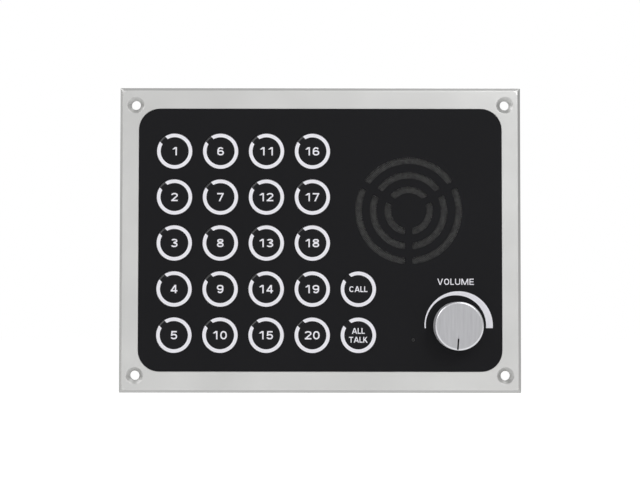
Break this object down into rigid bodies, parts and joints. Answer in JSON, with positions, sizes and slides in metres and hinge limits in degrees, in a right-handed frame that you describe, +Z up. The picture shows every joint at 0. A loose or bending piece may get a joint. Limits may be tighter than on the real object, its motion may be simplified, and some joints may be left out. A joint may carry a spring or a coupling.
{
  "type": "intercom master station",
  "caption": "Panel-mounted intercom master station with numbered push keys, a slotted loudspeaker, a volume knob and a sheet-metal rear housing with plug-in terminals.",
  "frame": {"origin": "centre of the four panel screws, in the rear face of the front plate", "axes": "+X to the right seen from the front, +Y into the panel, +Z up; the front looks along -Y"},
  "size_m": [0.192, 0.0776, 0.146],
  "materials": {
    "satin_aluminium": "fine satin anodised",
    "turned_aluminium": "turned and brushed",
    "black_foil": "fine matte screen-printed film",
    "key_black": "fine matte, printed ring",
    "black_rubber": "matte rubber",
    "foam_rubber": "closed-cell foam",
    "dark_mesh": "blackened fine mesh",
    "board": "green solder resist",
    "black_plastic": "moulded",
    "lamp_lens": "clear red lens",
    "nickel_brass": "nickel plated",
    "zinc_steel": "zinc plated",
    "zinc_sheet": "zinc-plated sheet",
    "pressed_steel": "black paint",
    "ferrite": "dark ferrite",
    "cone_paper": "pressed paper",
    "copper_wire": "enamelled wire",
    "spider_cloth": "resin-treated cloth",
    "terminal_green": "moulded green",
    "transformer_iron": "varnished laminations",
    "capacitor_sleeve": "shrink sleeve",
    "ribbon_grey": "flat cable"
  },
  "bodies": {
    "panel": {"front_plate": "satin_aluminium", "front_foil": "black_foil", "panel_gasket": "black_rubber", "speaker_mesh": "dark_mesh", "key_board": "board", "key_switches": "black_plastic", "key_lamps": "lamp_lens", "board_pillars": "nickel_brass", "board_screws": "zinc_steel", "plate_screws": "zinc_steel", "speaker_gasket": "foam_rubber", "speaker_basket": "pressed_steel", "speaker_front_washer": "zinc_steel", "speaker_magnet": "ferrite", "speaker_yoke": "zinc_steel", "speaker_surround": "black_rubber", "speaker_spider": "spider_cloth", "speaker_clips": "zinc_steel", "pot_body": "black_plastic", "pot_bushing": "nickel_brass", "pot_nut": "nickel_brass", "mic_boot": "black_rubber", "mic_capsule": "turned_aluminium", "main_board": "board", "terminal_sockets": "terminal_green", "terminal_plugs": "terminal_green", "line_transformers": "transformer_iron", "capacitors": "capacitor_sleeve", "ribbon_cable": "ribbon_grey", "rear_housing": "zinc_sheet", "rear_cover": "zinc_sheet", "rear_cover_screws": "zinc_steel", "earth_stud": "zinc_steel"},
    "key_01": {"key_01": "key_black"},
    "key_02": {"key_02": "key_black"},
    "key_03": {"key_03": "key_black"},
    "key_04": {"key_04": "key_black"},
    "key_05": {"key_05": "key_black"},
    "key_06": {"key_06": "key_black"},
    "key_07": {"key_07": "key_black"},
    "key_08": {"key_08": "key_black"},
    "key_09": {"key_09": "key_black"},
    "key_10": {"key_10": "key_black"},
    "key_11": {"key_11": "key_black"},
    "key_12": {"key_12": "key_black"},
    "key_13": {"key_13": "key_black"},
    "key_14": {"key_14": "key_black"},
    "key_15": {"key_15": "key_black"},
    "key_16": {"key_16": "key_black"},
    "key_17": {"key_17": "key_black"},
    "key_18": {"key_18": "key_black"},
    "key_19": {"key_19": "key_black"},
    "key_20": {"key_20": "key_black"},
    "key_call": {"key_call": "key_black"},
    "key_all_talk": {"key_all_talk": "key_black"},
    "volume_control": {"volume_knob": "turned_aluminium", "knob_grub_screw": "zinc_steel", "pot_shaft": "turned_aluminium"},
    "cone_assembly": {"speaker_cone": "cone_paper", "voice_coil": "copper_wire"}
  },
  "joints": [
    {"name": "key_01_press", "type": "slide", "parent": "panel", "child": "key_01", "axis": [0, 1, 0], "range_m": [0, 0.0005], "stiffness_N_per_m": 3500},
    {"name": "key_02_press", "type": "slide", "parent": "panel", "child": "key_02", "axis": [0, 1, 0], "range_m": [0, 0.0005], "stiffness_N_per_m": 3500},
    {"name": "key_03_press", "type": "slide", "parent": "panel", "child": "key_03", "axis": [0, 1, 0], "range_m": [0, 0.0005], "stiffness_N_per_m": 3500},
    {"name": "key_04_press", "type": "slide", "parent": "panel", "child": "key_04", "axis": [0, 1, 0], "range_m": [0, 0.0005], "stiffness_N_per_m": 3500},
    {"name": "key_05_press", "type": "slide", "parent": "panel", "child": "key_05", "axis": [0, 1, 0], "range_m": [0, 0.0005], "stiffness_N_per_m": 3500},
    {"name": "key_06_press", "type": "slide", "parent": "panel", "child": "key_06", "axis": [0, 1, 0], "range_m": [0, 0.0005], "stiffness_N_per_m": 3500},
    {"name": "key_07_press", "type": "slide", "parent": "panel", "child": "key_07", "axis": [0, 1, 0], "range_m": [0, 0.0005], "stiffness_N_per_m": 3500},
    {"name": "key_08_press", "type": "slide", "parent": "panel", "child": "key_08", "axis": [0, 1, 0], "range_m": [0, 0.0005], "stiffness_N_per_m": 3500},
    {"name": "key_09_press", "type": "slide", "parent": "panel", "child": "key_09", "axis": [0, 1, 0], "range_m": [0, 0.0005], "stiffness_N_per_m": 3500},
    {"name": "key_10_press", "type": "slide", "parent": "panel", "child": "key_10", "axis": [0, 1, 0], "range_m": [0, 0.0005], "stiffness_N_per_m": 3500},
    {"name": "key_11_press", "type": "slide", "parent": "panel", "child": "key_11", "axis": [0, 1, 0], "range_m": [0, 0.0005], "stiffness_N_per_m": 3500},
    {"name": "key_12_press", "type": "slide", "parent": "panel", "child": "key_12", "axis": [0, 1, 0], "range_m": [0, 0.0005], "stiffness_N_per_m": 3500},
    {"name": "key_13_press", "type": "slide", "parent": "panel", "child": "key_13", "axis": [0, 1, 0], "range_m": [0, 0.0005], "stiffness_N_per_m": 3500},
    {"name": "key_14_press", "type": "slide", "parent": "panel", "child": "key_14", "axis": [0, 1, 0], "range_m": [0, 0.0005], "stiffness_N_per_m": 3500},
    {"name": "key_15_press", "type": "slide", "parent": "panel", "child": "key_15", "axis": [0, 1, 0], "range_m": [0, 0.0005], "stiffness_N_per_m": 3500},
    {"name": "key_16_press", "type": "slide", "parent": "panel", "child": "key_16", "axis": [0, 1, 0], "range_m": [0, 0.0005], "stiffness_N_per_m": 3500},
    {"name": "key_17_press", "type": "slide", "parent": "panel", "child": "key_17", "axis": [0, 1, 0], "range_m": [0, 0.0005], "stiffness_N_per_m": 3500},
    {"name": "key_18_press", "type": "slide", "parent": "panel", "child": "key_18", "axis": [0, 1, 0], "range_m": [0, 0.0005], "stiffness_N_per_m": 3500},
    {"name": "key_19_press", "type": "slide", "parent": "panel", "child": "key_19", "axis": [0, 1, 0], "range_m": [0, 0.0005], "stiffness_N_per_m": 3500},
    {"name": "key_20_press", "type": "slide", "parent": "panel", "child": "key_20", "axis": [0, 1, 0], "range_m": [0, 0.0005], "stiffness_N_per_m": 3500},
    {"name": "key_call_press", "type": "slide", "parent": "panel", "child": "key_call", "axis": [0, 1, 0], "range_m": [0, 0.0005], "stiffness_N_per_m": 3500},
    {"name": "key_all_talk_press", "type": "slide", "parent": "panel", "child": "key_all_talk", "axis": [0, 1, 0], "range_m": [0, 0.0005], "stiffness_N_per_m": 3500},
    {"name": "volume_turn", "type": "hinge", "parent": "panel", "child": "volume_control", "pos_m": [0.0654, 0, -0.041], "axis": [0, 1, 0], "range_deg": [0, 270]},
    {"name": "cone_move", "type": "slide", "parent": "panel", "child": "cone_assembly", "axis": [0, 1, 0], "range_m": [-0.0008, 0.0008], "stiffness_N_per_m": 1500, "deforming": ["speaker_surround", "speaker_spider"]}
  ]
}
